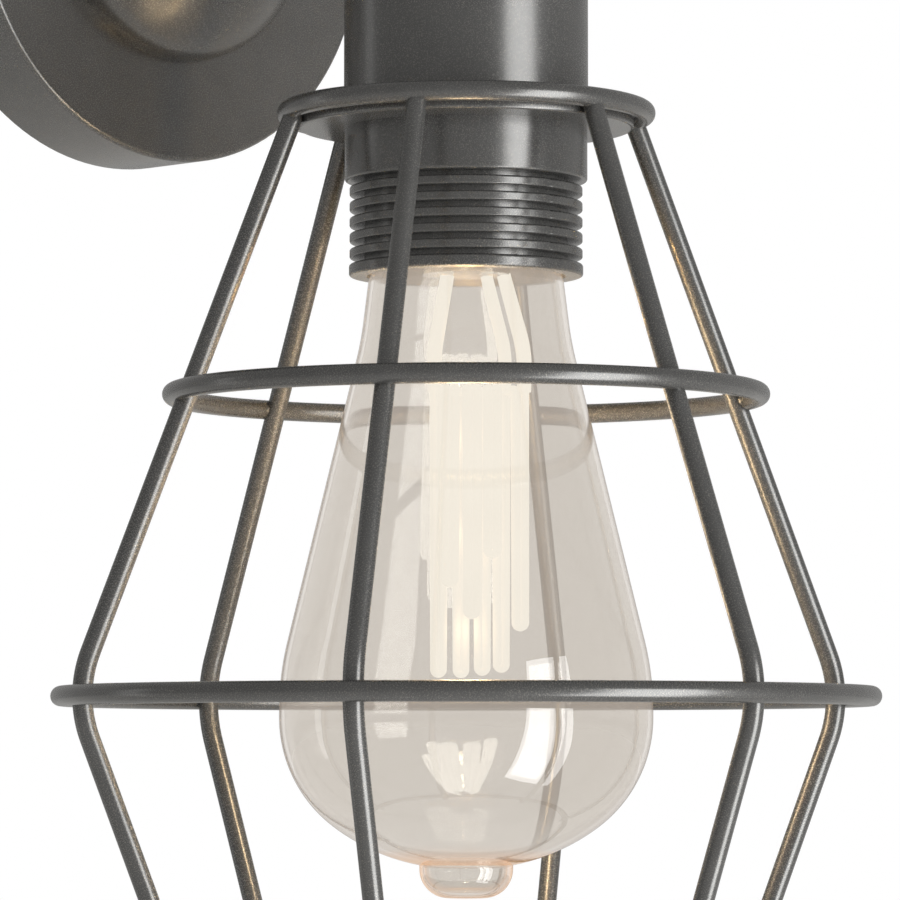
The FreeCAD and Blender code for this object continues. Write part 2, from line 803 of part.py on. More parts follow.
def filament():
    """The folded strand, its two lead-ins and the wire that holds its top turns."""
    start = -stem_end_drop - hole_gap
    top = hairpin_top - bulb_tip
    splay = lead_in_top - bulb_tip
    half = right * (hairpin_gap / 2)
    points = []
    for across, depth, drop in hairpins:
        bottom = hairpin_top - drop * filament_height + filament_radius - bulb_tip
        for side in (-half, half):
            levels = (top, bottom) if side == -half else (bottom, top)
            points += [in_filament((across, depth), level) + side for level in levels]
    strand = tube(points, filament_radius, [hairpin_gap / 2] * (len(points) - 2))
    first, last = points[0], points[-1]
    lead_ins = [tube([in_filament(place, start), Vector(end.x, end.y, splay), end], lead_in_radius,
                     [support_bend]) for place, end in ((left_lead_in, first), (right_lead_in, last))]
    held = in_filament(hairpins[-2][:2], top) + half
    holder = tube([in_filament(support_top, start), Vector(held.x, held.y, splay), held], support_radius,
                  [support_bend])
    folded = strand.fuse(lead_ins).removeSplitter()
    both = Part.makeCompound([folded, holder])
    both.rotate(origin, up, -filament_turn)
    return on_bulb(both)


# ---------------------------------------------------------------- all pieces

pieces = {
    "wall_bracket": wall_bracket(),
    "terminal_block": terminal_block(),
    "terminal_screws": terminal_screws(),
    "block_screw": block_screw(),
    "earth_screw": earth_screw(),
    "canopy": canopy(),
    "canopy_screws": canopy_screws(),
    "arm_boss": arm_boss(),
    "arm": arm(),
    "arm_washer": arm_washer(),
    "arm_nut": arm_nut(),
    "live_lead": lead(-1),
    "neutral_lead": lead(1),
    "holder_cup": holder_cup(),
    "nipple_nut": nipple_nut(),
    "holder_barrel": holder_barrel(),
    "holder_screws": holder_screws(),
    "lamp_insert": lamp_insert(),
    "insert_terminals": insert_terminals(),
    "screw_shell": screw_shell(),
    "centre_contact": centre_contact(),
    "clamp_collar": clamp_collar(),
    "cage_disc": cage_disc(),
    "top_ring": ring(top_ring_radius, top_ring_level),
    "middle_ring": ring(leg_radius(middle_ring_level) + ring_seat, middle_ring_level),
    "large_ring": ring(large_ring_radius, 0),
    "bottom_ring": ring(leg_radius(bottom_ring_level) + ring_seat, bottom_ring_level),
    "bulb_glass": bulb_glass(),
    "bulb_cap": bulb_cap(),
    "cap_insulator": cap_insulator(),
    "cap_contact": cap_contact(),
    "glass_stem": glass_stem(),
    "stem_wires": on_bulb(stem_wires()),
    "filament": filament(),
}
for number in range(leg_count):
    pieces["leg_" + str(number + 1)] = cage_leg(number)

for name, shape in pieces.items():
    save(shape, name)
    box = shape.BoundBox
    print("%-18s solids %d valid %s volume %9.2f z %.1f to %.1f"
          % (name, len(shape.Solids), shape.isValid(), shape.Volume, box.ZMin, box.ZMax))
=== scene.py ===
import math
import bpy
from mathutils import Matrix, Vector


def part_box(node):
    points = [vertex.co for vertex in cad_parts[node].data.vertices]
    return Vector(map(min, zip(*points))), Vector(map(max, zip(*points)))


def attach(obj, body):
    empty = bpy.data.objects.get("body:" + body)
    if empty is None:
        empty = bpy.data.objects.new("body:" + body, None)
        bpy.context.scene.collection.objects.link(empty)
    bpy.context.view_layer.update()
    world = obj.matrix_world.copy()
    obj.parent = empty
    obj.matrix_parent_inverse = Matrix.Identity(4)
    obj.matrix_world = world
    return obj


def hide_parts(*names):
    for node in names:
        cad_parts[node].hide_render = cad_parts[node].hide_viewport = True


bl_info = {
    "name": "Cage wall light",
    "version": (1, 0, 0),
    "blender": (4, 5, 0),
    "location": "View3D > Sidebar > Cage light",
    "description": "Dresses the solids of a cage wall light with finishes, welds, threads and a studio",
    "category": "Add Mesh",
}

from functools import partial

import bmesh
import bpy
from bpy.props import FloatProperty, FloatVectorProperty, IntProperty, PointerProperty
from mathutils import Matrix, Vector

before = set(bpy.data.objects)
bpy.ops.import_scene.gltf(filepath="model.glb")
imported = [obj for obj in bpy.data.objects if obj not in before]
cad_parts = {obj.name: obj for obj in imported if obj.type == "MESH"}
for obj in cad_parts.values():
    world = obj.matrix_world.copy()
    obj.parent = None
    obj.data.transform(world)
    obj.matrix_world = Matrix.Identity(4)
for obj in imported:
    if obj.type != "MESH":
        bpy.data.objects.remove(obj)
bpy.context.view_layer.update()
MM = 0.001
merge_distance = 0.0001 * MM


# ---------------------------------------------------------------- places read from the frame

def middle(node):
    """Middle of a node's box."""
    low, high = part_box(node)
    return (low + high) / 2


def half_width(node):
    """Outer radius of a round node."""
    low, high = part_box(node)
    return (high.x - low.x) / 2


def ring_radius(ring):
    """Radius of a ring at the middle of its wire."""
    return half_width(ring) - wire_radius


lamp_axis = Vector((0, middle("large_ring").y, 0))
ring_level = middle("large_ring").z
wire_radius = (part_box("large_ring")[1].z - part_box("large_ring")[0].z) / 2
ring_names = ("top_ring", "middle_ring", "large_ring", "bottom_ring")
leg_names = tuple(sorted(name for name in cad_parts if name.startswith("leg_")))

# How finely round things are divided
WIRE_SIDES = 28
RING_STEPS = 240
BEND_STEPS = 24
THREAD_SIDES = 96
GLASS_SIDES = 192


# ---------------------------------------------------------------- sizes and colours a user may change

def linear(hex_colour):
    """An sRGB hex colour as linear red, green and blue."""
    parts = [int(hex_colour[i:i + 2], 16) / 255 for i in (1, 3, 5)]
    return tuple(c / 12.92 if c <= 0.04045 else ((c + 0.055) / 1.055) ** 2.4 for c in parts)


def length(name, description, default):
    return FloatProperty(name=name, description=description, default=default, unit="LENGTH",
                         precision=5)


def amount(name, description, default, **limits):
    return FloatProperty(name=name, description=description, default=default, min=0, **limits)


def degrees(name, description, default):
    return FloatProperty(name=name, description=description, default=math.radians(default),
                         subtype="ANGLE")


def colour(name, description, hex_colour):
    return FloatVectorProperty(name=name, description=description, default=linear(hex_colour),
                               size=3, subtype="COLOR", min=0, max=1)


class CageLightFinish(bpy.types.PropertyGroup):
    coat: colour("Powder coat", "Colour of the satin gunmetal powder coat", "#616160")
    coat_roughness: amount("Coat roughness", "Roughness of the powder coat", 0.25, max=1)
    coat_metal: amount("Coat metal", "How metallic the powder coat is", 0.65, max=1)
    fleck: colour("Fleck", "Colour of the mica in the powder coat", "#B8B0A4")
    fleck_share: amount("Fleck share", "How far the palest flecks reach that colour", 0.3, max=1)
    fleck_size: length("Fleck size", "Size of the fine flecks in the powder coat", 0.2 * MM)
    peel_size: length("Peel size", "Width of the coat's orange peel", 0.7 * MM)
    peel_depth: length("Peel depth", "Height of the coat's orange peel", 0.012 * MM)
    glass_tint: colour("Glass tint", "Colour of the bulb's glass where light passes it", "#C3C2BF")
    glass_edge: colour("Glass edge", "Colour of the glass seen edge on", "#6F5B48")
    # Painted reflection: amber round the nub's rim stands in for the lit strand seen mirrored and bent
    # in the nub
    nub_painted_reflection: colour("Nub amber", "Colour of the sealed nub's edges", "#E9A86C")
    # Painted glow: the glass is given a faint light of its own that stands in for the lit strand's
    # light, though glass is no lamp
    glass_painted_glow: colour("Glass veil", "Colour of the lit strand's light held in the glass", "#FFF1E4")
    painted_glow_strength: amount("Veil strength", "Brightness of the light held in the glass", 0.118)
    glow: colour("Glow", "Colour of the lit filament", "#FFFAEE")
    glow_strength: amount("Glow strength", "Brightness of the lit filament", 1.3)
    mirrored_strength: amount("Mirrored strength", "Brightness of the filament in the glass's mirror",
                              10.0)
    glow_swell: length("Glow swell", "How far the glow swells the upper turns of the strand", 0.36 * MM)
    tip_swell: length("Tip swell", "How far the glow swells the strand's lowest turns", 0.12 * MM)


class CageLightWires(bpy.types.PropertyGroup):
    leg_count: IntProperty(name="Legs", description="Number of bent legs", default=6, min=2)
    bend_radius: length("Bend radius", "Radius of each leg's bend at the largest ring", 21 * MM)
    ring_seat: length("Ring seat", "From the leg's centre line out to the bottom ring's", 2.07 * MM)
    large_seat: length("Large seat", "From the leg's bend out to the largest ring's wire", 2.67 * MM)
    top_inset: length("Top inset", "From the top ring's wire in to the leg's", 0.95 * MM)
    top_gap: length("Top gap", "From the top ring's level down to the leg's end", 0.9 * MM)
    bottom_end: length("Bottom end", "From the bottom ring's level down to the leg's end", 1.0 * MM)


class CageLightGlass(bpy.types.PropertyGroup):
    belly_radius: length("Belly radius", "Largest radius of the glass", 32.4 * MM)
    belly_rise: length("Belly rise", "From the nub's end up to the widest level", 31.2 * MM)
    belly_straight: length("Belly straight", "Height of the upright stretch at the belly", 7.3 * MM)
    belly_bend: length("Belly bend", "Radius that joins the flank to the belly", 50 * MM)
    end_radius: length("End radius", "Radius below the belly, where the glass turns in", 23.7 * MM)
    end_turn: degrees("End turn", "Turn from the belly to the flatter lower end", 53)
    base_radius: length("Base radius", "Radius of the flatter lower end round the nub", 36 * MM)
    flare_radius: length("Flare radius", "Radius where the neck starts to flare", 18.3 * MM)
    flare_rise: length("Flare rise", "From the nub's end up to the start of the flare", 96.5 * MM)
    flare_bend: length("Flare bend", "Radius that joins the neck to the flank", 60 * MM)
    neck_radius: length("Neck radius", "Radius of the glass below the cap", 16.9 * MM)
    neck_rise: length("Neck rise", "From the nub's end up to the neck's shoulder", 107.8 * MM)
    neck_bend: length("Neck bend", "Radius of the neck's shoulder", 8 * MM)
    cap_rise: length("Cap rise", "From the nub's end up to the cap's lower edge", 115.8 * MM)
    seat_radius: length("Seat radius", "Radius of the glass inside the cap", 12.8 * MM)
    nub_radius: length("Nub radius", "Radius of the nub under the glass", 8.1 * MM)
    nub_edge: length("Nub edge", "Radius of the nub's lower edge", 5 * MM)
    wall: length("Wall", "Thickness of the glass", 0.9 * MM)


class CageLightWelds(bpy.types.PropertyGroup):
    bead_size: length("Bead size", "Radius of a weld bead where a ring meets a leg", 0.62 * wire_radius)
    bead_side: length("Bead side", "From the leg's middle to the bead on its side", 0.9 * wire_radius)
    smallest: amount("Smallest bead", "Share of the bead size", 0.85)
    largest: amount("Largest bead", "Share of the bead size", 1.1)
    seed: IntProperty(name="Seed", description="Seed of the beads' small differences", default=7)


class CageLightThread(bpy.types.PropertyGroup):
    pitch: length("Thread pitch", "Pitch of the rolled lamp thread", 3.62 * MM)
    depth: length("Thread depth", "Depth of the rolled thread on the bulb's cap", 0.8 * MM)
    shell_depth: length("Shell thread depth", "Depth of the thread in the holder's shell", 0.3 * MM)


class CageLightStage(bpy.types.PropertyGroup):
    view_turn: degrees("View turn", "Camera's angle round the lamp axis", 44.4)
    view_pitch: degrees("View pitch", "Upward tilt of the camera", 3.56)
    view_yaw: degrees("View yaw", "Sideways tilt of the camera", 0.184)
    distance: length("Distance", "From the lamp axis to the camera", 0.871497)
    drop: length("Camera drop", "Camera's height below the largest ring", 11.434 * MM)
    lens: FloatProperty(name="Lens", description="Focal length in millimetres on a 36 mm sensor",
                        default=200.99, min=1)
    floor_drop: length("Floor drop", "From the largest ring to the floor", 1.3)
    floor: colour("Floor", "Colour of the plain floor", "#F4F3F1")
    floor_shade: colour("Floor shade", "The floor's second tone, in wide soft clouds", "#F0EFED")
    floor_glow: amount("Floor glow", "Light of the floor's own, which keeps it pale", 0.26)
    room: colour("Room", "Colour of the room that the surfaces mirror", "#F5F4F2")
    room_strength: amount("Room strength", "Brightness of that room", 0.46)


GROUPS = {
    "cage_finish": CageLightFinish,
    "cage_wires": CageLightWires,
    "cage_welds": CageLightWelds,
    "cage_glass": CageLightGlass,
    "cage_thread": CageLightThread,
    "cage_stage": CageLightStage,
}


# ---------------------------------------------------------------- nodes

def add_node(tree, kind, settings=None, **inputs):
    """Adds a node, sets its own options, then sets or links its inputs by name, or by place as i0, i1.
    A node given as an input stands for the first of its outputs that is in use."""
    node = tree.nodes.new(kind)
    for key, value in (settings or {}).items():
        setattr(node, key, value)
    names = [socket.name.lower() for socket in node.inputs]
    for key, value in inputs.items():
        by_place = key[0] == "i" and key[1:].isdigit()
        socket = node.inputs[int(key[1:]) if by_place else names.index(key.replace("_", " "))]
        if isinstance(value, bpy.types.Node):
            value = next(output for output in value.outputs if output.enabled)
        if isinstance(value, bpy.types.NodeSocket):
            tree.links.new(value, socket)
        else:
            socket.default_value = value
    return node


def rgba(linear_colour):
    return (*linear_colour, 1)


def paint(hex_colour):
    return rgba(linear(hex_colour))


def surface(name, build):
    """A material. Its shader is what build makes with a function that adds nodes and a place."""
    material = bpy.data.materials.new(name)
    material.use_nodes = True
    material.node_tree.nodes.clear()
    node = partial(add_node, material.node_tree)
    place = node("ShaderNodeTexCoord").outputs["Object"]
    node("ShaderNodeOutputMaterial", surface=build(node, place))
    return material


SEEDED = {"noise_dimensions": "4D"}           # its W is the seed, so that two patterns don't line up
MOST = {"from_min": 0.3, "from_max": 0.7}     # where most of a noise lies
COLOURS = {"data_type": "RGBA"}               # i0 is the factor, i6 and i7 the two colours
PRODUCT = {"operation": "MULTIPLY"}
GLASS_IOR = 1.52


# ---------------------------------------------------------------- materials

def powder_coat():
    """Gunmetal polyester powder with mica, sprayed on steel and baked. It sets to a satin skin that
    mirrors a window as a soft streak, its fine orange peel roughens the streak's edges, and the mica
    shows as pale flecks. Flakes of about 0.05 mm are drawn four times as coarse, so that they show."""
    finish = bpy.context.scene.cage_finish

    def build(node, place):
        flecks = node("ShaderNodeTexNoise", SEEDED, vector=place, scale=1 / finish.fleck_size,
                      detail=1.0)
        pale = node("ShaderNodeMapRange", value=flecks, from_min=0.59, from_max=0.72,
                    to_max=finish.fleck_share)
        clouds = node("ShaderNodeTexNoise", SEEDED, vector=place, scale=1 / (6 * MM), w=3.0, detail=3.0,
                      roughness=0.55)
        depth = node("ShaderNodeMapRange", value=clouds, **MOST, to_min=0.94, to_max=1.06)
        base = node("ShaderNodeMix", COLOURS, i0=pale, i6=rgba(finish.coat), i7=rgba(finish.fleck))
        tone = node("ShaderNodeVectorMath", {"operation": "SCALE"}, i0=base, scale=depth)
        rough = node("ShaderNodeMapRange", value=flecks, **MOST, to_min=finish.coat_roughness - 0.05,
                     to_max=finish.coat_roughness + 0.07)
        peel = node("ShaderNodeTexNoise", SEEDED, vector=place, scale=1 / finish.peel_size, w=5.0)
        normal = node("ShaderNodeBump", height=peel, distance=finish.peel_depth, strength=0.5)
        return node("ShaderNodeBsdfPrincipled", base_color=tone, roughness=rough,
                    metallic=finish.coat_metal, normal=normal)
    return surface("gunmetal_powder_coat", build)


def zinc_steel():
    """Steel strip and screws, zinc-plated and passivated: a cold bright grey that goes faintly yellow
    in patches, with pressing marks half a millimetre apart that break up what it mirrors."""
    def build(node, place):
        patches = node("ShaderNodeTexNoise", SEEDED, vector=place, scale=1 / (9 * MM))
        tint = node("ShaderNodeMapRange", value=patches, from_min=0.35, from_max=0.65)
        base = node("ShaderNodeMix", COLOURS, i0=tint, i6=paint("#C3C5C6"), i7=paint("#B9B6A6"))
        grain = node("ShaderNodeTexNoise", SEEDED, vector=place, scale=1 / (0.5 * MM), w=2.0,
                     detail=3.0, roughness=0.6)
        rough = node("ShaderNodeMapRange", value=grain, **MOST, to_min=0.24, to_max=0.38)
        normal = node("ShaderNodeBump", height=grain, distance=0.01 * MM, strength=0.6)
        return node("ShaderNodeBsdfPrincipled", base_color=base, metallic=1.0, roughness=rough,
                    normal=normal)
    return surface("zinc_plated_steel", build)


def brass():
    """Brass pressed from sheet and left bare: it mirrors warmly where it is new, and is browner and
    duller where it has tarnished, in patches some 4 mm wide."""
    def build(node, place):
        cloud = node("ShaderNodeTexNoise", SEEDED, vector=place, scale=1 / (4 * MM), detail=3.0)
        tarnish = node("ShaderNodeMapRange", value=cloud, from_min=0.4, from_max=0.7)
        base = node("ShaderNodeMix", COLOURS, i0=tarnish, i6=paint("#D2AE5B"), i7=paint("#A8803C"))
        rough = node("ShaderNodeMapRange", value=tarnish, to_min=0.2, to_max=0.36)
        return node("ShaderNodeBsdfPrincipled", base_color=base, metallic=1.0, roughness=rough)
    return surface("pressed_brass", build)


def cap_metal():
    """Nickel-plated cap of the bulb: nearly a mirror, with faint marks round it from the rollers that
    made its thread, which draw its highlights out sideways."""
    def build(node, place):
        drawn = node("ShaderNodeMapping", vector=place, scale=(1, 1, 14))
        marks = node("ShaderNodeTexNoise", vector=drawn, scale=1 / (3 * MM), detail=3.0)
        base = node("ShaderNodeMix", COLOURS, i0=marks, i6=paint("#CFCBC2"), i7=paint("#BDB9B0"))
        rough = node("ShaderNodeMapRange", value=marks, **MOST, to_min=0.16, to_max=0.3)
        normal = node("ShaderNodeBump", height=marks, distance=0.01 * MM, strength=0.5)
        return node("ShaderNodeBsdfPrincipled", base_color=base, metallic=1.0, roughness=rough,
                    normal=normal)
    return surface("nickel_plated_cap", build)


def solder():
    """Tin solder that set in air: dull silver, with a frosted skin that scatters its highlight."""
    def build(node, place):
        frost = node("ShaderNodeTexNoise", SEEDED, vector=place, scale=1 / (0.8 * MM), detail=4.0,
                     roughness=0.6)
        rough = node("ShaderNodeMapRange", value=frost, **MOST, to_min=0.28, to_max=0.5)
        normal = node("ShaderNodeBump", height=frost, distance=0.05 * MM, strength=0.6)
        return node("ShaderNodeBsdfPrincipled", base_color=paint("#B7B6B2"), metallic=1.0,
                    roughness=rough, normal=normal)
    return surface("tin_solder", build)


def black_vitrite():
    """Black glass melted round the cap's contact: glossy, with slow waves that bend its highlight."""
    def build(node, place):
        wave = node("ShaderNodeTexNoise", SEEDED, vector=place, scale=1 / (3 * MM), detail=1.0)
        rough = node("ShaderNodeMapRange", value=wave, **MOST, to_min=0.08, to_max=0.18)
        normal = node("ShaderNodeBump", height=wave, distance=0.1 * MM, strength=0.4)
        return node("ShaderNodeBsdfPrincipled", base_color=paint("#15131A"), roughness=rough,
                    normal=normal)
    return surface("black_cap_glass", build)


def white_nylon():
    """Nylon of the terminal block, moulded in its own colour: off-white and half matt, with the
    mould's fine grain and slow changes of shade where it has yellowed."""
    def build(node, place):
        grain = node("ShaderNodeTexNoise", SEEDED, vector=place, scale=1 / (0.4 * MM))
        cloud = node("ShaderNodeTexNoise", SEEDED, vector=place, scale=1 / (8 * MM), w=1.0)
        shade = node("ShaderNodeMapRange", value=cloud, **MOST)
        base = node("ShaderNodeMix", COLOURS, i0=shade, i6=paint("#E9E6DC"), i7=paint("#DFDACC"))
        rough = node("ShaderNodeMapRange", value=grain, **MOST, to_min=0.4, to_max=0.55)
        normal = node("ShaderNodeBump", height=grain, distance=0.02 * MM, strength=0.5)
        return node("ShaderNodeBsdfPrincipled", base_color=base, roughness=rough, normal=normal)
    return surface("moulded_nylon", build)


def porcelain():
    """Porcelain of the lamp insert, glazed and fired: a wet gloss over white clay, with the clay's
    dark specks under it and a soft wave in the glaze."""
    def build(node, place):
        speckle = node("ShaderNodeTexNoise", SEEDED, vector=place, scale=1 / (0.5 * MM))
        specks = node("ShaderNodeMapRange", value=speckle, from_min=0.68, from_max=0.74, to_max=0.5)
        base = node("ShaderNodeMix", COLOURS, i0=specks, i6=paint("#EDEAE2"), i7=paint("#9C9384"))
        wave = node("ShaderNodeTexNoise", SEEDED, vector=place, scale=1 / (5 * MM), w=4.0, detail=1.0)
        normal = node("ShaderNodeBump", height=wave, distance=0.1 * MM, strength=0.3)
        return node("ShaderNodeBsdfPrincipled", base_color=base, roughness=0.18, coat_weight=0.5,
                    coat_roughness=0.06, normal=normal)
    return surface("glazed_porcelain", build)


def lead_sleeve(name, hex_colour):
    """Extruded silicone sleeve of a lead: matt, with a pale bloom in patches."""
    def build(node, place):
        cloud = node("ShaderNodeTexNoise", SEEDED, vector=place, scale=1 / (2 * MM), detail=3.0)
        bloom = node("ShaderNodeMapRange", value=cloud, from_min=0.35, from_max=0.7, to_max=0.35)
        base = node("ShaderNodeMix", COLOURS, i0=bloom, i6=paint(hex_colour), i7=paint("#B8B2A8"))
        return node("ShaderNodeBsdfPrincipled", base_color=base, roughness=0.5, sheen_weight=0.1)
    return surface(name, build)


def clear_to_lamps(node, shell, clear_colour):
    """Lets lamps shine through a glass shell, as real glass does, in place of a black shadow."""
    clear = node("ShaderNodeBsdfTransparent", color=clear_colour)
    shadow = node("ShaderNodeLightPath").outputs["Is Shadow Ray"]
    return node("ShaderNodeMixShader", i0=shadow, i1=shell, i2=clear)


def clear_glass():
    """Soda-lime glass blown in a mould: clear, with fire-polished skins that mirror the window
    sharply. The thin wall has a painted glow, a faint light of its own that stands in for the lit
    strand's light in the glass. It looks brown edge on, and has a painted amber reflection of the
    strand round the nub, where the glass was drawn off and sealed."""
    finish = bpy.context.scene.cage_finish
    nub_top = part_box("bulb_glass")[0].z + 9 * MM

    def build(node, place):
        slant = node("ShaderNodeLayerWeight", blend=0.5).outputs["Facing"]
        edge = node("ShaderNodeMapRange", value=slant, from_min=0.8, from_max=0.99)
        # Painted reflection of the lit strand: amber near the nub, where its wall turns edge on
        level = node("ShaderNodeSeparateXYZ", vector=place).outputs["Z"]
        sealed = node("ShaderNodeMapRange", value=level, from_min=nub_top - 2.5 * MM,
                      from_max=nub_top - 0.5 * MM, to_min=1.0, to_max=0.0)
        rim = node("ShaderNodeMapRange", value=slant, from_min=0.45, from_max=0.9)
        painted_reflection_mask = node("ShaderNodeMath", PRODUCT, i0=sealed, i1=rim)

        def toned(open_colour, edge_colour):
            """One colour where the wall faces the eye, one edge on, and a painted amber reflection of
            the lit strand at the nub's rim.
            """
            plain = node("ShaderNodeMix", COLOURS, i0=edge, i6=open_colour, i7=edge_colour)
            return node("ShaderNodeMix", COLOURS, i0=painted_reflection_mask, i6=plain, i7=rgba(finish.nub_painted_reflection))
        # The shell's emission is a painted glow: a faint light of its own, dimmer and brown edge on,
        # and amber at the nub
        shell = node("ShaderNodeBsdfPrincipled", roughness=0.0, transmission_weight=1.0,
                     base_color=toned(rgba(finish.glass_tint), rgba(finish.glass_edge)),
                     emission_color=toned(rgba(finish.glass_painted_glow), paint("#7A5C40")),
                     emission_strength=finish.painted_glow_strength, ior=GLASS_IOR)
        return clear_to_lamps(node, shell, rgba(finish.glass_tint))
    return surface("clear_blown_glass", build)


def stem_glass():
    """Glass of the stem, pressed while soft: its skin is wavy and not quite polished, so the leads
    in it look bent and its highlights are blurred."""
    def build(node, place):
        wave = node("ShaderNodeTexNoise", SEEDED, vector=place, scale=1 / (2 * MM))
        rough = node("ShaderNodeMapRange", value=wave, **MOST, to_min=0.08, to_max=0.16)
        normal = node("ShaderNodeBump", height=wave, distance=0.05 * MM, strength=0.4)
        shell = node("ShaderNodeBsdfPrincipled", base_color=paint("#E9E6DF"), roughness=rough,
                     transmission_weight=1.0, ior=GLASS_IOR, normal=normal)
        return clear_to_lamps(node, shell, (1, 1, 1, 1))
    return surface("pressed_stem_glass", build)


def glowing_filament():
    """Carbon strand at full glow. It burns far past white, so to the eye it is drawn only a little
    above white, and at its own strength where the glass mirrors it."""
    finish = bpy.context.scene.cage_finish

    def build(node, place):
        heat = node("ShaderNodeTexNoise", SEEDED, vector=place, scale=1 / (12 * MM), detail=1.0)
        seen = node("ShaderNodeMapRange", value=heat, **MOST, to_min=0.98 * finish.glow_strength,
                    to_max=1.02 * finish.glow_strength)
        path = node("ShaderNodeLightPath")
        mirrored = node("ShaderNodeMath", PRODUCT, i0=path.outputs["Is Singular Ray"],
                        i1=path.outputs["Is Reflection Ray"])
        strength = node("ShaderNodeMath", {"operation": "MULTIPLY_ADD"}, i0=mirrored,
                        i1=finish.mirrored_strength, i2=seen)
        return node("ShaderNodeBsdfPrincipled", base_color=paint("#060504"), roughness=1.0,
                    specular_ior_level=0.0, emission_color=rgba(finish.glow),
                    emission_strength=strength)
    return surface("glowing_filament", build)


MATERIALS = {
    "powder_coat": powder_coat,
    "zinc_steel": zinc_steel,
    "brass": brass,
    "cap_metal": cap_metal,
    "solder": solder,
    "black_vitrite": black_vitrite,
    "white_nylon": white_nylon,
    "porcelain": porcelain,
    "lead_brown": lambda: lead_sleeve("brown_lead_sleeve", "#5A3A28"),
    "lead_blue": lambda: lead_sleeve("blue_lead_sleeve", "#2C5C93"),
    "clear_glass": clear_glass,
    "glowing_filament": glowing_filament,
}
made_materials = {}


def material_for(slot):
    if slot not in made_materials:
        made_materials[slot] = MATERIALS[slot]()
    return made_materials[slot]


def dress(*names):
    """Gives CAD nodes the finish that their slot in the record names."""
    for name in names:
        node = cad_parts[name]
        for held in node.material_slots:
            held.material = material_for(held.material.name.split(".")[0])


# ---------------------------------------------------------------- mesh helpers

def mesh_object(name, mesh, slot, body, replaced=()):
    """Makes a finished piece that rides on a body and stands for the CAD nodes that it replaces."""
    piece = bpy.data.objects.new(name, mesh)
    bpy.context.scene.collection.objects.link(piece)
    if not mesh.materials:
        mesh.materials.append(material_for(slot))
    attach(piece, body)
    if replaced:
        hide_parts(*replaced)
    return piece


def smooth(mesh, flat_ends=False):
    """Shades a mesh smooth, apart from the many-sided faces that close its ends if those are flat."""
    for face in mesh.polygons:
        face.use_smooth = not flat_ends or len(face.vertices) == 4


def finish_mesh(form, name):
    """Turns merged points and outward faces into a smooth mesh."""
    bmesh.ops.remove_doubles(form, verts=form.verts, dist=merge_distance)
    bmesh.ops.recalc_face_normals(form, faces=form.faces)
    mesh = bpy.data.meshes.new(name)
    form.to_mesh(mesh)
    form.free()
    smooth(mesh)
    return mesh


def turned_mesh(name, rings, sides, radius_at, level_at, closed=True):
    """A wall turned round the lamp axis, whose radius may follow a helix. Its rings of points go up one
    face and down the other, and a closed wall's last ring joins its first."""
    form = bmesh.new()
    rows = []
    for i in range(rings):
        row = []
        for k in range(sides):
            angle = 2 * math.pi * k / sides
            radius = radius_at(i, angle)
            row.append(form.verts.new((radius * math.cos(angle) + lamp_axis.x,
                                       radius * math.sin(angle) + lamp_axis.y, level_at(i))))
        rows.append(row)
    for low, high in zip(rows, rows[1:] + rows[:closed]):
        for k in range(sides):
            n = (k + 1) % sides
            form.faces.new((low[k], low[n], high[n], high[k]))
    return finish_mesh(form, name)


def thread_wave(pitch, level, angle, low, high, fades, crest):
    """From 0 to 1 and back along a thread, which fades out at its low and high ends. With crest 1 it
    starts at 1, and with crest -1 at 0."""
    turn = level / pitch - angle / (2 * math.pi)
    ends = min(1, (level - low) / fades[0], (high - level) / fades[1])
    return max(0, ends) * (0.5 + crest * 0.5 * math.cos(2 * math.pi * turn))


def round_arc(centre, radius, start, end, parts=24):
    """Points along an arc, from one angle to another, as radius and height."""
    turns = [start + (end - start) * i / parts for i in range(parts + 1)]
    return [(centre[0] + radius * math.cos(t), centre[1] + radius * math.sin(t)) for t in turns]


def rounded_line(points, bends, parts=16):
    """A line of radius and height with each inner corner rounded to its own bend."""
    corners = [Vector(point) for point in points]
    line = [tuple(corners[0])]
    for before, corner, after, bend in zip(corners, corners[1:], corners[2:], bends):
        way_in = (corner - before).normalized()
        way_out = (after - corner).normalized()
        if not bend:
            line.append(tuple(corner))
            continue
        half = way_in.angle(way_out) / 2
        reach = bend * math.tan(half)
        centre = corner + (way_out - way_in).normalized() * (bend / math.cos(half))
        first = corner - way_in * reach - centre
        turn = way_in.angle_signed(way_out)
        for i in range(parts + 1):
            line.append(tuple(centre + Matrix.Rotation(-turn * i / parts, 2) @ first))
    return line + [tuple(corners[-1])]


def divided(line, step):
    """The same line with its long runs cut into steps."""
    fine = [line[0]]
    for start, end in zip(line, line[1:]):
        run = math.dist(start, end)
        parts = max(1, math.ceil(run / step))
        if run > merge_distance:
            fine += [tuple(a + (b - a) * i / parts for a, b in zip(start, end))
                     for i in range(1, parts + 1)]
    return fine


# ---------------------------------------------------------------- geometry node helpers

def node_tree(name, inputs):
    """A Geometry Nodes tree with a geometry input and output and the named value inputs."""
    tree = bpy.data.node_groups.new(name, "GeometryNodeTree")
    tree.interface.new_socket("Geometry", in_out="INPUT", socket_type="NodeSocketGeometry")
    for label, kind, default in inputs:
        socket = tree.interface.new_socket(label, in_out="INPUT", socket_type=kind)
        socket.default_value = default
    tree.interface.new_socket("Geometry", in_out="OUTPUT", socket_type="NodeSocketGeometry")
    return tree, partial(add_node, tree), tree.nodes.new("NodeGroupInput")


def end_tree(node, geometry, slot):
    """Ends a tree with real geometry that wears a slot's finish."""
    real = node("GeometryNodeRealizeInstances", geometry=geometry)
    dressed = node("GeometryNodeSetMaterial", geometry=real, material=material_for(slot))
    node("NodeGroupOutput", i0=dressed)


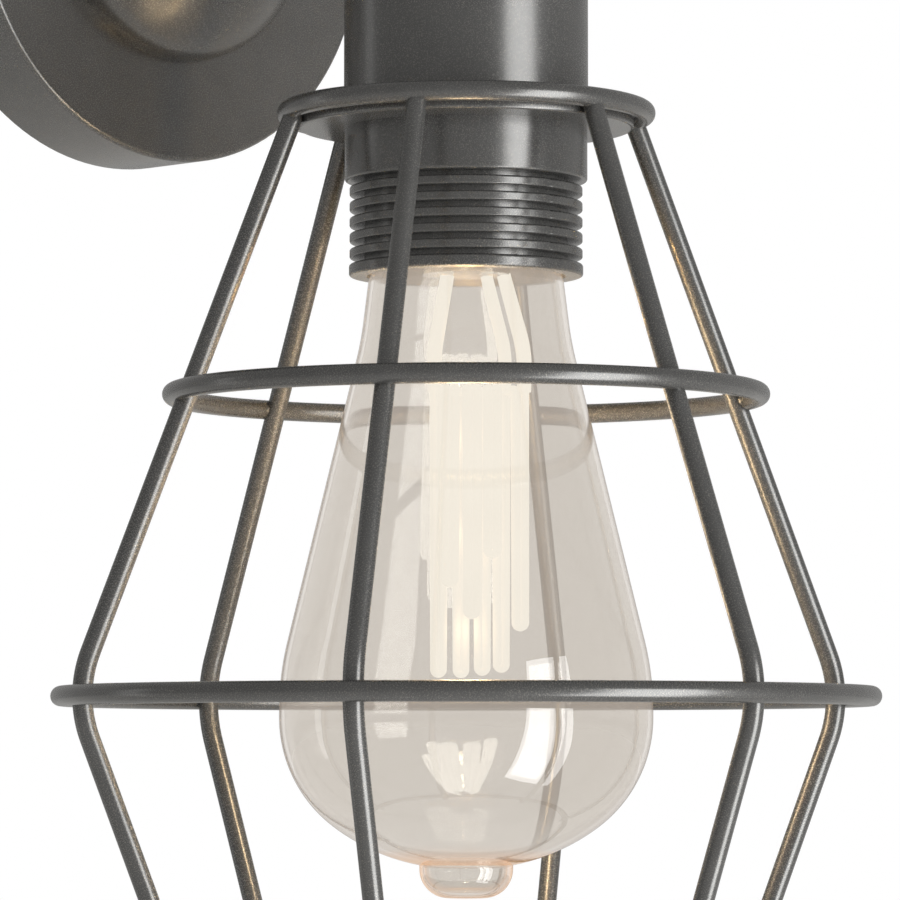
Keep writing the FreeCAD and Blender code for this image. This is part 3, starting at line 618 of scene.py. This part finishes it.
def grown_mesh(name, start, tree, values):
    """Runs a tree on a start mesh and returns the result as a plain mesh."""
    holder = bpy.data.objects.new(name + "_start", start)
    bpy.context.scene.collection.objects.link(holder)
    modifier = holder.modifiers.new("nodes", "NODES")
    modifier.node_group = tree
    sockets = {item.name: item.identifier for item in tree.interface.items_tree
               if item.item_type == "SOCKET" and item.in_out == "INPUT"}
    for label, value in values.items():
        modifier[sockets[label]] = value
    bpy.context.view_layer.update()
    graph = bpy.context.evaluated_depsgraph_get()
    mesh = bpy.data.meshes.new_from_object(holder.evaluated_get(graph), depsgraph=graph)
    mesh.name = name
    holder.modifiers.remove(modifier)
    bpy.data.objects.remove(holder)
    return mesh


def points_mesh(name, points, edges=(), faces=()):
    mesh = bpy.data.meshes.new(name)
    mesh.from_pydata([tuple(p) for p in points], list(edges), list(faces))
    return mesh


# ---------------------------------------------------------------- pieces

class CAGELIGHT_OT_wall_parts(bpy.types.Operator):
    """Finishes the bracket, its terminals and screws, the canopy, the boss and the arm"""
    bl_idname = "cagelight.wall_parts"
    bl_label = "Wall parts"

    def execute(self, context):
        dress("wall_bracket", "terminal_block", "terminal_screws", "block_screw", "earth_screw",
              "canopy", "canopy_screws", "arm_boss", "arm", "arm_washer", "arm_nut",
              "live_lead", "neutral_lead")
        return {"FINISHED"}


class CAGELIGHT_OT_lampholder(bpy.types.Operator):
    """Finishes the cup, barrel, collar and insert, and presses the thread into the screw shell"""
    bl_idname = "cagelight.lampholder"
    bl_label = "Lampholder"

    def execute(self, context):
        dress("holder_cup", "nipple_nut", "holder_barrel", "holder_screws", "lamp_insert",
              "insert_terminals", "centre_contact", "clamp_collar", "screw_shell")
        thread = context.scene.cage_thread
        low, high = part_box("screw_shell")
        outside = half_width("screw_shell") - 0.02 * MM
        bore = outside - 0.36 * MM
        fade = 2 * MM
        steps = 120
        levels = [low.z + (high.z - low.z) * i / steps for i in range(steps + 1)]
        heights = levels + levels[::-1]

        def radius_at(i, angle):
            if i > steps:
                return outside
            wave = thread_wave(thread.pitch, heights[i], angle, low.z, high.z, (fade, fade), 1)
            return bore + thread.shell_depth * wave

        mesh = turned_mesh("threaded_shell", len(heights), THREAD_SIDES, radius_at,
                           lambda i: heights[i])
        mesh_object("threaded_shell", mesh, "brass", "fixture", ["screw_shell"])
        return {"FINISHED"}


class CAGELIGHT_OT_cage(bpy.types.Operator):
    """Bends the six legs and four rings of the cage out of wire and lays a weld at each crossing"""
    bl_idname = "cagelight.cage"
    bl_label = "Wire cage"

    def execute(self, context):
        dress("cage_disc", *ring_names, *leg_names)
        self.bend_legs(context.scene.cage_wires)
        self.bend_rings()
        self.lay_welds(context.scene.cage_welds)
        return {"FINISHED"}

    def bend_legs(self, wires):
        """One leg bent where two straight runs meet at the largest ring, repeated round the lamp."""
        rise = middle("top_ring").z - ring_level
        drop = ring_level - middle("bottom_ring").z
        top = ring_radius("top_ring") - wires.top_inset
        bend = ring_radius("large_ring") - wires.large_seat
        lean = math.atan2(bend - top, rise)
        corner = bend + wires.bend_radius * (1 / math.cos(lean) - 1)
        bottom = ring_radius("bottom_ring") - wires.ring_seat
        upper_slope = (corner - top) / rise
        lower_slope = (corner - bottom) / drop
        high = rise - wires.top_gap
        low = drop + wires.bottom_end
        path = [(0, upper_slope * high - corner, high), (0, -corner, 0),
                (0, lower_slope * low - corner, -low)]
        start = points_mesh("leg_path", path, [(0, 1), (1, 2)])

        tree, node, given = node_tree("bent_legs", [
            ("Wire radius", "NodeSocketFloat", wire_radius),
            ("Bend radius", "NodeSocketFloat", wires.bend_radius),
            ("Legs", "NodeSocketInt", wires.leg_count),
            ("Lamp axis", "NodeSocketVector", (0, 0, 0)),
        ])
        line = node("GeometryNodeMeshToCurve", i0=given)
        bent = node("GeometryNodeFilletCurve", {"mode": "POLY"}, curve=line, count=BEND_STEPS,
                    radius=given.outputs["Bend radius"])
        section = node("GeometryNodeCurvePrimitiveCircle", resolution=WIRE_SIDES,
                       radius=given.outputs["Wire radius"])
        leg = node("GeometryNodeCurveToMesh", curve=bent, profile_curve=section, fill_caps=True)
        spots = node("GeometryNodePoints", count=given.outputs["Legs"])
        number = node("GeometryNodeInputIndex")
        share = node("ShaderNodeMath", {"operation": "DIVIDE"}, i0=number, i1=given.outputs["Legs"])
        angle = node("ShaderNodeMath", PRODUCT, i0=share, i1=2 * math.pi)
        turn = node("ShaderNodeCombineXYZ", z=angle)
        legs = node("GeometryNodeInstanceOnPoints", points=spots, instance=leg, rotation=turn)
        placed = node("GeometryNodeTransform", geometry=legs, translation=given.outputs["Lamp axis"])
        end_tree(node, placed, "powder_coat")
        mesh = grown_mesh("bent_legs", start, tree, {
            "Wire radius": wire_radius, "Bend radius": wires.bend_radius, "Legs": wires.leg_count,
            "Lamp axis": lamp_axis + Vector((0, 0, ring_level))})
        smooth(mesh, flat_ends=True)
        mesh_object("bent_legs", mesh, "powder_coat", "cage", leg_names)

    def bend_rings(self):
        """Every ring is the same wire swept round a circle of its own radius at its own level."""
        centres = [lamp_axis + Vector((0, 0, middle(name).z)) for name in ring_names]
        start = points_mesh("ring_levels", centres)
        radii = start.attributes.new("ring_radius", "FLOAT", "POINT")
        radii.data.foreach_set("value", [ring_radius(name) for name in ring_names])
        tree, node, given = node_tree("wire_rings", [("Wire radius", "NodeSocketFloat", wire_radius)])
        held = node("GeometryNodeInputNamedAttribute", {"data_type": "FLOAT"}, name="ring_radius")
        size = node("ShaderNodeCombineXYZ", x=held, y=held, z=1.0)
        circle = node("GeometryNodeCurvePrimitiveCircle", resolution=RING_STEPS, radius=1.0)
        circles = node("GeometryNodeInstanceOnPoints", points=given, instance=circle, scale=size)
        real = node("GeometryNodeRealizeInstances", geometry=circles)
        section = node("GeometryNodeCurvePrimitiveCircle", resolution=WIRE_SIDES,
                       radius=given.outputs["Wire radius"])
        rings = node("GeometryNodeCurveToMesh", curve=real, profile_curve=section)
        end_tree(node, rings, "powder_coat")
        mesh = grown_mesh("wire_rings", start, tree, {"Wire radius": wire_radius})
        smooth(mesh)
        mesh_object("wire_rings", mesh, "powder_coat", "cage", ring_names)

    def lay_welds(self, welds):
        """A small round bead on each side of a leg, where a ring crosses it."""
        tree, node, given = node_tree("weld_beads", [
            ("Bead size", "NodeSocketFloat", welds.bead_size),
            ("Smallest", "NodeSocketFloat", welds.smallest),
            ("Largest", "NodeSocketFloat", welds.largest),
            ("Seed", "NodeSocketInt", welds.seed),
        ])
        ball = node("GeometryNodeMeshIcoSphere", radius=1.0, subdivisions=3)
        size = node("FunctionNodeRandomValue", {"data_type": "FLOAT"}, seed=given.outputs["Seed"],
                    i2=given.outputs["Smallest"], i3=given.outputs["Largest"])
        scale = node("ShaderNodeMath", PRODUCT, i0=size, i1=given.outputs["Bead size"])
        turn = node("FunctionNodeRandomValue", {"data_type": "FLOAT_VECTOR"},
                    seed=given.outputs["Seed"], i0=(0, 0, 0), i1=(6.28, 6.28, 6.28))
        beads = node("GeometryNodeInstanceOnPoints", points=given, instance=ball, rotation=turn,
                     scale=scale)
        end_tree(node, beads, "powder_coat")
        spots = []
        for ring in ring_names:
            reach = ring_radius(ring) - welds.bead_size
            for number in range(len(leg_names)):
                turned = Matrix.Rotation(number * 2 * math.pi / len(leg_names), 3, "Z")
                for side in (-welds.bead_side, welds.bead_side):
                    spots.append(turned @ Vector((side, -reach, middle(ring).z)) + lamp_axis)
        start = points_mesh("weld_spots", spots)
        mesh = grown_mesh("cage_welds", start, tree, {
            "Bead size": welds.bead_size, "Smallest": welds.smallest, "Largest": welds.largest,
            "Seed": welds.seed})
        smooth(mesh)
        mesh_object("cage_welds", mesh, "powder_coat", "cage")


class CAGELIGHT_OT_bulb(bpy.types.Operator):
    """Finishes the glass, stem and filament, and rolls the thread of the bulb's cap"""
    bl_idname = "cagelight.bulb"
    bl_label = "Bulb"

    def execute(self, context):
        dress("bulb_glass", "cap_insulator", "cap_contact", "glass_stem", "stem_wires", "filament",
              "bulb_cap")
        # The record gives the stem the bulb's slot, but pressed glass is duller than blown glass
        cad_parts["glass_stem"].material_slots[0].material = stem_glass()
        self.blow_glass(context.scene.cage_glass)
        self.light_filament(context.scene.cage_finish)
        self.roll_cap(context.scene.cage_thread)
        return {"FINISHED"}

    def glass_outline(self, glass, inset):
        """Radius and height of the glass from its seat in the cap down to the nub, set in by inset."""
        widest = glass.belly_radius - inset
        seat = glass.seat_radius - inset
        low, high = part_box("bulb_glass")
        line = rounded_line([(seat, high.z - low.z),
                             (seat, glass.cap_rise),
                             (glass.neck_radius - inset, glass.neck_rise),
                             (glass.flare_radius - inset, glass.flare_rise),
                             (widest, glass.belly_rise + glass.belly_straight),
                             (widest, glass.belly_rise)],
                            [0, glass.neck_bend, glass.flare_bend, glass.belly_bend])
        nub = glass.nub_radius - inset
        centre = Vector((glass.belly_radius - glass.end_radius, glass.belly_rise))
        line += round_arc(centre, glass.end_radius - inset, 0, -glass.end_turn)
        way = Vector((math.cos(glass.end_turn), -math.sin(glass.end_turn)))
        centre += way * (glass.end_radius - glass.base_radius)
        base = glass.base_radius - inset
        line += round_arc(centre, base, -glass.end_turn, -math.acos((nub - centre.x) / base))
        edge = glass.nub_edge - inset
        line += round_arc((nub - edge, edge + inset), edge, 0, -math.pi / 2)
        return line + [(0, inset)]

    def blow_glass(self, glass):
        """The glass as one closed wall, turned finely enough to bend light without a ripple."""
        outline = self.glass_outline(glass, 0)[::-1] + self.glass_outline(glass, glass.wall)
        outline = divided(outline, 1.5 * MM)
        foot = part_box("bulb_glass")[0].z
        mesh = turned_mesh("blown_glass", len(outline), GLASS_SIDES, lambda i, angle: outline[i][0],
                           lambda i: foot + outline[i][1], closed=False)
        mesh_object("blown_glass", mesh, "clear_glass", "bulb", ["bulb_glass"])

    def light_filament(self, finish):
        """The strand as the eye sees it lit: swollen by its glow, so that its folds run together."""
        form = bmesh.new()
        form.from_mesh(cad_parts["filament"].data)
        bmesh.ops.remove_doubles(form, verts=form.verts, dist=merge_distance)
        form.normal_update()
        low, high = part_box("filament")
        tips = 0.35 * (high.z - low.z)
        for vertex in form.verts:
            share = min(max((vertex.co.z - low.z) / tips, 0), 1)
            swell = finish.tip_swell + (finish.glow_swell - finish.tip_swell) * share
            vertex.co += vertex.normal * swell
        mesh = bpy.data.meshes.new("lit_filament")
        form.to_mesh(mesh)
        form.free()
        smooth(mesh)
        strand = mesh_object("lit_filament", mesh, "glowing_filament", "bulb", ["filament"])
        strand.visible_shadow = False

    def roll_cap(self, thread):
        """The cap as thin sheet: its rolled thread, the shoulder drawn in to the insulator, and the
        inside, which comes down again clear of the thread."""
        low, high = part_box("bulb_cap")
        radius = half_width("bulb_cap")
        sheet = 0.3 * MM
        shoulder = 3 * MM
        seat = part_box("cap_insulator")[1].x - 0.2 * MM
        thread_low = low.z + 3.5 * MM
        thread_high = high.z - shoulder
        fades = (1.5 * MM, 1.0 * MM)
        steps = 150
        bends = 10

        levels = [low.z + (thread_high - low.z) * i / steps for i in range(steps + 1)]
        rise = [(radius * math.cos(t) + seat * (1 - math.cos(t)), thread_high + shoulder * math.sin(t))
                for t in (math.pi / 2 * i / bends for i in range(1, bends + 1))]
        outline = [(None, z) for z in levels] + rise
        outline += [(r - sheet, z - sheet) for r, z in reversed(rise)]
        outline += [(radius - thread.depth - sheet, z) for z in (thread_high - sheet, low.z)]

        def radius_at(i, angle):
            given, level = outline[i]
            if given is not None:
                return given
            wave = thread_wave(thread.pitch, level, angle, thread_low, thread_high, fades, -1)
            return radius - thread.depth * wave

        mesh = turned_mesh("threaded_cap", len(outline), THREAD_SIDES, radius_at,
                           lambda i: outline[i][1])
        mesh_object("threaded_cap", mesh, "cap_metal", "bulb", ["bulb_cap"])


# Soft panels. Each has its turn to the right of the camera and its lift in degrees, its distance, width
# and height in metres, its radiance, and whether only light that came through the glass meets it.
PANELS = {
    "right_window": (52, -17, 0.95, 0.55, 1.3, 6.2, False),
    "window_in_the_glass": (51, -17, 0.96, 0.42, 1.2, 10.0, True),
    "left_strip": (-102, 0, 1.2, 0.12, 1.0, 1.2, False),
}

# The lit strand's light on what is round it, from points along it. Each has its share of the strand's
# height, its power in watts, its size and its colour, which is warmer in the neck.
GLOWS = (
    (0.12, 0.22, 3 * MM, "#FFE0B6"),
    (0.36, 0.22, 3 * MM, "#FFE0B6"),
    (0.6, 0.22, 3 * MM, "#FFE0B6"),
    (0.86, 0.05, 0, "#FFCB80"),
)


class CAGELIGHT_OT_stage(bpy.types.Operator):
    """Sets the pale floor, the studio lights and the camera at the photograph's viewing angle"""
    bl_idname = "cagelight.stage"
    bl_label = "Stage"

    def execute(self, context):
        stage = context.scene.cage_stage
        self.floor(stage)
        self.world(stage)
        self.lights(stage)
        self.camera(stage)
        context.scene.view_settings.view_transform = "Standard"
        return {"FINISHED"}

    def floor(self, stage):
        """A wide plain floor, well below the light, with a little light of its own to keep it pale."""
        level = ring_level - stage.floor_drop
        reach = 8
        corners = [(x * reach, y * reach, level) for x, y in ((-1, -1), (1, -1), (1, 1), (-1, 1))]
        mesh = points_mesh("floor", corners, faces=[(0, 1, 2, 3)])

        def build(node, place):
            clouds = node("ShaderNodeTexNoise", SEEDED, vector=place, scale=1 / 0.4)
            share = node("ShaderNodeMapRange", value=clouds, **MOST)
            base = node("ShaderNodeMix", COLOURS, i0=share, i6=rgba(stage.floor),
                        i7=rgba(stage.floor_shade))
            return node("ShaderNodeBsdfPrincipled", base_color=base, roughness=0.8,
                        emission_color=rgba(stage.floor), emission_strength=stage.floor_glow)
        mesh.materials.append(surface("plain_floor", build))
        floor = bpy.data.objects.new("floor", mesh)
        bpy.context.scene.collection.objects.link(floor)

    def world(self, stage):
        """White behind the light and its clear glass, and a dim room for what the surfaces mirror."""
        world = bpy.data.worlds.new("studio")
        bpy.context.scene.world = world
        world.use_nodes = True
        world.node_tree.nodes.clear()
        node = partial(add_node, world.node_tree)
        seen = node("ShaderNodeBackground", color=(1, 1, 1, 1), strength=1.0)
        room = node("ShaderNodeBackground", color=rgba(stage.room), strength=stage.room_strength)
        path = node("ShaderNodeLightPath")
        through = node("ShaderNodeMath", {"operation": "MAXIMUM"}, i0=path.outputs["Is Camera Ray"],
                       i1=path.outputs["Is Transmission Ray"])
        node("ShaderNodeOutputWorld", surface=node("ShaderNodeMixShader", i0=through, i1=room, i2=seen))

    def lights(self, stage):
        aim = lamp_axis + Vector((0, 0, ring_level + 20 * MM))
        for name, (turn, lift, distance, width, height, radiance, in_glass) in PANELS.items():
            around = stage.view_turn - math.radians(turn)
            level = math.cos(math.radians(lift))
            away = Vector((-math.sin(around) * level, -math.cos(around) * level,
                           math.sin(math.radians(lift))))
            data = bpy.data.lights.new(name, "AREA")
            data.shape = "RECTANGLE"
            data.size, data.size_y = width, height
            data.energy = radiance * math.pi * width * height
            panel = bpy.data.objects.new(name, data)
            panel.location = aim + away * distance
            panel.rotation_euler = (-away).to_track_quat("-Z", "Y").to_euler()
            panel.visible_camera = False
            panel.visible_transmission = in_glass
            panel.visible_glossy = panel.visible_diffuse = not in_glass
            bpy.context.scene.collection.objects.link(panel)

        low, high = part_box("filament")
        for number, (share, power, size, hex_colour) in enumerate(GLOWS):
            data = bpy.data.lights.new("filament_glow_%d" % number, "POINT")
            data.energy = power
            data.color = linear(hex_colour)
            data.shadow_soft_size = size
            glow = bpy.data.objects.new(data.name, data)
            glow.location = lamp_axis + Vector((0, 0, low.z + (high.z - low.z) * share))
            glow.visible_camera = glow.visible_transmission = False
            bpy.context.scene.collection.objects.link(glow)

    def camera(self, stage):
        data = bpy.data.cameras.new("camera")
        data.sensor_width = 36
        data.lens = stage.lens
        data.clip_start = 0.01
        camera = bpy.data.objects.new("camera", data)
        turn = stage.view_turn
        camera.location = lamp_axis + Vector((-math.sin(turn), -math.cos(turn), 0)) * stage.distance
        camera.location.z = ring_level - stage.drop
        camera.rotation_euler = (math.pi / 2 + stage.view_pitch, 0, stage.view_yaw - turn)
        bpy.context.scene.collection.objects.link(camera)
        bpy.context.scene.camera = camera


OPERATORS = (CAGELIGHT_OT_stage, CAGELIGHT_OT_wall_parts, CAGELIGHT_OT_lampholder, CAGELIGHT_OT_cage,
             CAGELIGHT_OT_bulb)


class CAGELIGHT_PT_panel(bpy.types.Panel):
    """Lists the light's pieces in the sidebar"""
    bl_idname = "CAGELIGHT_PT_panel"
    bl_label = "Cage wall light"
    bl_space_type = "VIEW_3D"
    bl_region_type = "UI"
    bl_category = "Cage light"

    def draw(self, context):
        for group in GROUPS:
            held = getattr(context.scene, group)
            box = self.layout.box()
            for name in held.__annotations__:
                box.prop(held, name)
        for operator in OPERATORS:
            self.layout.operator(operator.bl_idname)


def register():
    for group_name, group in GROUPS.items():
        bpy.utils.register_class(group)
        setattr(bpy.types.Scene, group_name, PointerProperty(type=group))
    for operator in OPERATORS:
        bpy.utils.register_class(operator)
    bpy.utils.register_class(CAGELIGHT_PT_panel)


def unregister():
    bpy.utils.unregister_class(CAGELIGHT_PT_panel)
    for operator in reversed(OPERATORS):
        bpy.utils.unregister_class(operator)
    for group_name, group in GROUPS.items():
        delattr(bpy.types.Scene, group_name)
        bpy.utils.unregister_class(group)


def main():
    register()
    bpy.ops.cagelight.stage()
    bpy.ops.cagelight.wall_parts()
    bpy.ops.cagelight.lampholder()
    bpy.ops.cagelight.cage()
    bpy.ops.cagelight.bulb()


if __name__ == "__main__":
    main()
